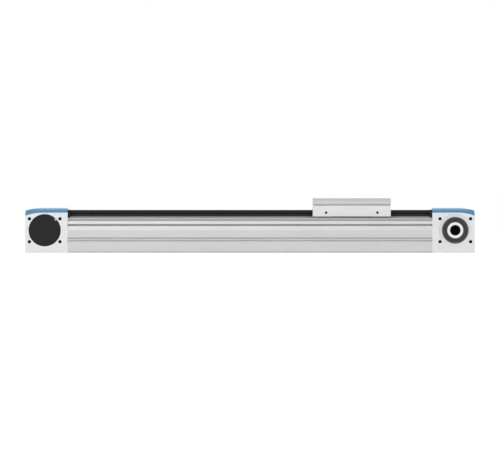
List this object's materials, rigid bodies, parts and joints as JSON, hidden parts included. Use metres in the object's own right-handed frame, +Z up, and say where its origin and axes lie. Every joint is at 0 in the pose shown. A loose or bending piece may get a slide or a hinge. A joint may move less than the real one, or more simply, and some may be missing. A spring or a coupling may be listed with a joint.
{
  "type": "belt driven linear axis",
  "caption": "Linear axis with a belt-driven slide on an external guide rail, aluminium profile, end caps and hollow drive shaft.",
  "frame": {"origin": "middle of the underside", "axes": "+X along the axis towards the drive end, +Y to the rear, +Z up, away from the base"},
  "size_m": [0.53, 0.069, 0.0646],
  "materials": {
    "profile_aluminium": "anodised, drawn along its length",
    "cap_aluminium": "blasted and anodised",
    "slide_aluminium": "anodised",
    "plate_aluminium": "milled and anodised",
    "pulley_aluminium": "turned bright",
    "rail_steel": "black oxide, ground ball grooves",
    "bearing_steel": "ground",
    "screw_steel": "zinc plated",
    "bronze": "machined",
    "brass_cage": "pressed",
    "blue_plastic": "fine grain",
    "black_plastic": "moulded",
    "seal_rubber": "smooth",
    "buffer_rubber": "matt",
    "belt_rubber": "matt, fabric faced teeth"
  },
  "bodies": {
    "frame": {"profile": "profile_aluminium", "guide_rail": "rail_steel", "rail_screws": "screw_steel", "drive_end_cap": "cap_aluminium", "return_end_cap": "cap_aluminium", "drive_top_cover": "blue_plastic", "return_top_cover": "blue_plastic", "drive_cap_screws": "screw_steel", "return_cap_screws": "screw_steel", "drive_cover_screws": "screw_steel", "return_cover_screws": "screw_steel", "drive_buffer": "buffer_rubber", "return_buffer": "buffer_rubber", "drive_rear_blanking_cap": "black_plastic", "return_front_blanking_cap": "black_plastic", "return_rear_blanking_cap": "black_plastic", "toothed_belt": "belt_rubber", "drive_bearing_outer_rings": "bearing_steel", "return_bearing_outer_rings": "bearing_steel", "drive_bearing_seals": "seal_rubber", "return_bearing_seals": "seal_rubber", "drive_idler_axle": "screw_steel", "return_idler_axle": "screw_steel"},
    "slide": {"slide_body": "slide_aluminium", "slide_top_plate": "plate_aluminium", "slide_plate_screws": "screw_steel", "front_ball_cassette": "black_plastic", "rear_ball_cassette": "black_plastic", "raceway_strips": "bearing_steel", "cassette_balls": "bearing_steel", "cassette_screws": "screw_steel", "left_wiper": "black_plastic", "right_wiper": "black_plastic", "wiper_screws": "screw_steel", "left_belt_clamp": "slide_aluminium", "right_belt_clamp": "slide_aluminium", "belt_clamp_screws": "screw_steel", "lube_nipples": "bearing_steel"},
    "drive_pulley_set": {"drive_pulley": "pulley_aluminium", "drive_pulley_flanges": "pulley_aluminium", "drive_bearing_inner_rings": "bearing_steel"},
    "return_pulley_set": {"return_pulley": "pulley_aluminium", "return_pulley_flanges": "pulley_aluminium", "return_bearing_inner_rings": "bearing_steel"},
    "drive_ball_sets": {"drive_bearing_balls": "bearing_steel", "drive_bearing_cages": "brass_cage"},
    "return_ball_sets": {"return_bearing_balls": "bearing_steel", "return_bearing_cages": "brass_cage"},
    "drive_idler": {"drive_idler_roller": "pulley_aluminium", "drive_idler_bush": "bronze"},
    "return_idler": {"return_idler_roller": "pulley_aluminium", "return_idler_bush": "bronze"}
  },
  "joints": [
    {"name": "slide_travel", "type": "slide", "parent": "frame", "child": "slide", "axis": [1, 0, 0], "range_m": [-0.285, 0.045], "deforming": ["toothed_belt"]},
    {"name": "drive_pulley_turn", "type": "hinge", "parent": "frame", "child": "drive_pulley_set", "pos_m": [0.242, 0, 0.0263], "axis": [0, 1, 0], "range_deg": [-1320, 210]},
    {"name": "return_pulley_turn", "type": "hinge", "parent": "frame", "child": "return_pulley_set", "pos_m": [-0.242, 0, 0.0263], "axis": [0, 1, 0], "range_deg": [-1320, 210]},
    {"name": "drive_cage_turn", "type": "hinge", "parent": "frame", "child": "drive_ball_sets", "pos_m": [0.242, 0, 0.0263], "axis": [0, 1, 0], "range_deg": [-580, 92]},
    {"name": "return_cage_turn", "type": "hinge", "parent": "frame", "child": "return_ball_sets", "pos_m": [-0.242, 0, 0.0263], "axis": [0, 1, 0], "range_deg": [-580, 92]},
    {"name": "drive_idler_turn", "type": "hinge", "parent": "frame", "child": "drive_idler", "pos_m": [0.224, 0, 0.04293], "axis": [0, 1, 0], "range_deg": [-2500, 400]},
    {"name": "return_idler_turn", "type": "hinge", "parent": "frame", "child": "return_idler", "pos_m": [-0.224, 0, 0.04293], "axis": [0, 1, 0], "range_deg": [-2500, 400]}
  ],
  "couplings": [
    {"joint": "drive_pulley_turn", "follows": "slide_travel", "rad_per_m": 80.554},
    {"joint": "return_pulley_turn", "follows": "slide_travel", "rad_per_m": 80.554},
    {"joint": "drive_cage_turn", "follows": "slide_travel", "rad_per_m": 35.32},
    {"joint": "return_cage_turn", "follows": "slide_travel", "rad_per_m": 35.32},
    {"joint": "drive_idler_turn", "follows": "slide_travel", "rad_per_m": 152.65},
    {"joint": "return_idler_turn", "follows": "slide_travel", "rad_per_m": 152.65}
  ]
}
